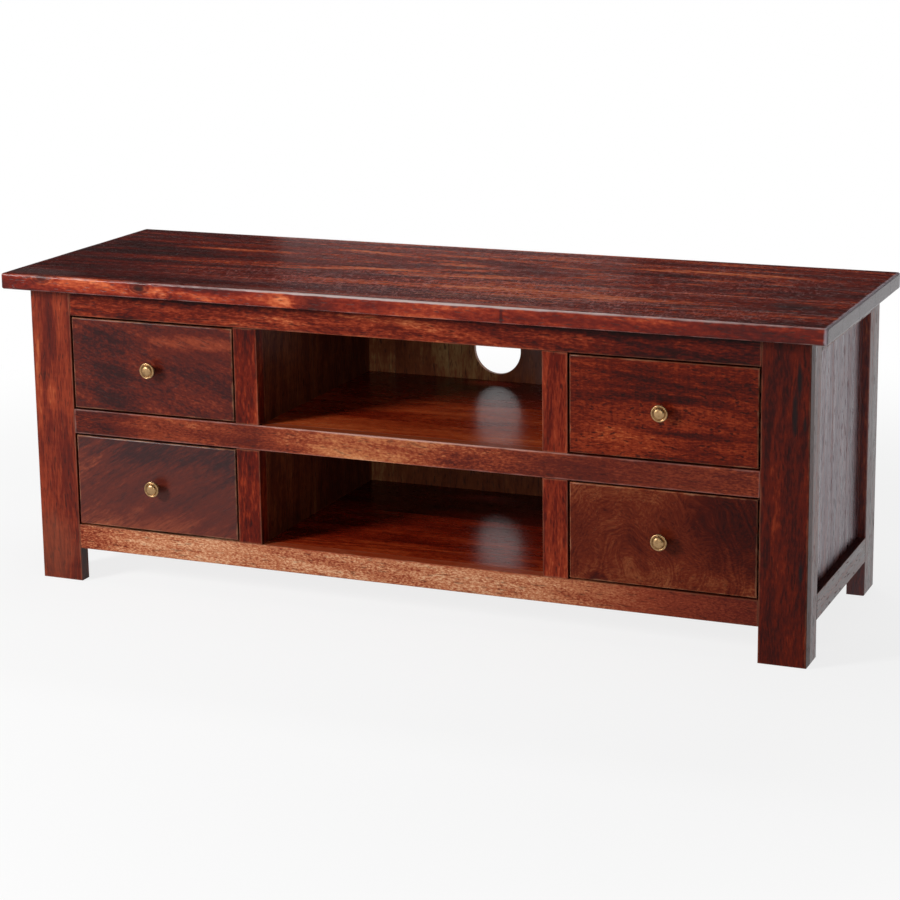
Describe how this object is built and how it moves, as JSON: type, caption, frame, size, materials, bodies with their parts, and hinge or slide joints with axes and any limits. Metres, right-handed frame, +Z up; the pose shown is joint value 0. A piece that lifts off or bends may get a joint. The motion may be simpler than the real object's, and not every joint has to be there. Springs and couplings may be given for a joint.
{
  "type": "tv cabinet",
  "caption": "Low hardwood television cabinet with stacked open niches between pairs of inset sliding drawers, on legs of its own frame.",
  "frame": {"origin": "on the floor, under the middle of the top board", "axes": "+X to the right of someone who faces the drawers, +Y to the back, +Z up; the drawers open along -Y"},
  "size_m": [1.3, 0.45, 0.495],
  "materials": {
    "top_wood": "dark red-brown stained hardwood under semi-gloss lacquer",
    "frame_wood": "red-brown stained hardwood under semi-gloss lacquer",
    "panel_wood": "dark red-brown stained hardwood under semi-gloss lacquer",
    "inner_wood": "dark brown stained hardwood under satin lacquer",
    "drawer_front_wood": "figured brown stained hardwood under semi-gloss lacquer",
    "drawer_box_wood": "plain planed hardwood",
    "drawer_bottom_wood": "plain thin plywood",
    "brass": "aged brass, softly polished"
  },
  "bodies": {
    "cabinet": {"top_board": "top_wood", "face_stile_left": "frame_wood", "face_stile_right": "frame_wood", "face_rail_bottom": "frame_wood", "face_rail_middle": "frame_wood", "face_rail_top": "frame_wood", "muntin_lower_left": "frame_wood", "muntin_lower_right": "frame_wood", "muntin_upper_left": "frame_wood", "muntin_upper_right": "frame_wood", "front_leg_left": "frame_wood", "front_leg_right": "frame_wood", "back_leg_left": "frame_wood", "back_leg_right": "frame_wood", "side_rail_bottom_left": "frame_wood", "side_rail_bottom_right": "frame_wood", "side_rail_top_left": "frame_wood", "side_rail_top_right": "frame_wood", "side_panel_left": "panel_wood", "side_panel_right": "panel_wood", "partition_left": "inner_wood", "partition_right": "inner_wood", "niche_shelf": "inner_wood", "bottom_board": "inner_wood", "back_panel": "inner_wood", "back_rail": "frame_wood", "runner_outer_left": "inner_wood", "runner_outer_right": "inner_wood", "runner_inner_left": "inner_wood", "runner_inner_right": "inner_wood", "guide_outer_left": "inner_wood", "guide_outer_right": "inner_wood", "guide_inner_left": "inner_wood", "guide_inner_right": "inner_wood", "kicker_left": "inner_wood", "kicker_right": "inner_wood"},
    "drawer_upper_left": {"drawer_upper_left_front": "drawer_front_wood", "drawer_upper_left_side_left": "drawer_box_wood", "drawer_upper_left_side_right": "drawer_box_wood", "drawer_upper_left_back": "drawer_box_wood", "drawer_upper_left_bottom": "drawer_bottom_wood", "drawer_upper_left_knob": "brass"},
    "drawer_upper_right": {"drawer_upper_right_front": "drawer_front_wood", "drawer_upper_right_side_left": "drawer_box_wood", "drawer_upper_right_side_right": "drawer_box_wood", "drawer_upper_right_back": "drawer_box_wood", "drawer_upper_right_bottom": "drawer_bottom_wood", "drawer_upper_right_knob": "brass"},
    "drawer_lower_left": {"drawer_lower_left_front": "drawer_front_wood", "drawer_lower_left_side_left": "drawer_box_wood", "drawer_lower_left_side_right": "drawer_box_wood", "drawer_lower_left_back": "drawer_box_wood", "drawer_lower_left_bottom": "drawer_bottom_wood", "drawer_lower_left_knob": "brass"},
    "drawer_lower_right": {"drawer_lower_right_front": "drawer_front_wood", "drawer_lower_right_side_left": "drawer_box_wood", "drawer_lower_right_side_right": "drawer_box_wood", "drawer_lower_right_back": "drawer_box_wood", "drawer_lower_right_bottom": "drawer_bottom_wood", "drawer_lower_right_knob": "brass"}
  },
  "joints": [
    {"name": "drawer_upper_left_slide", "type": "slide", "parent": "cabinet", "child": "drawer_upper_left", "axis": [0, -1, 0], "range_m": [0, 0.3]},
    {"name": "drawer_upper_right_slide", "type": "slide", "parent": "cabinet", "child": "drawer_upper_right", "axis": [0, -1, 0], "range_m": [0, 0.3]},
    {"name": "drawer_lower_left_slide", "type": "slide", "parent": "cabinet", "child": "drawer_lower_left", "axis": [0, -1, 0], "range_m": [0, 0.3]},
    {"name": "drawer_lower_right_slide", "type": "slide", "parent": "cabinet", "child": "drawer_lower_right", "axis": [0, -1, 0], "range_m": [0, 0.3]}
  ]
}
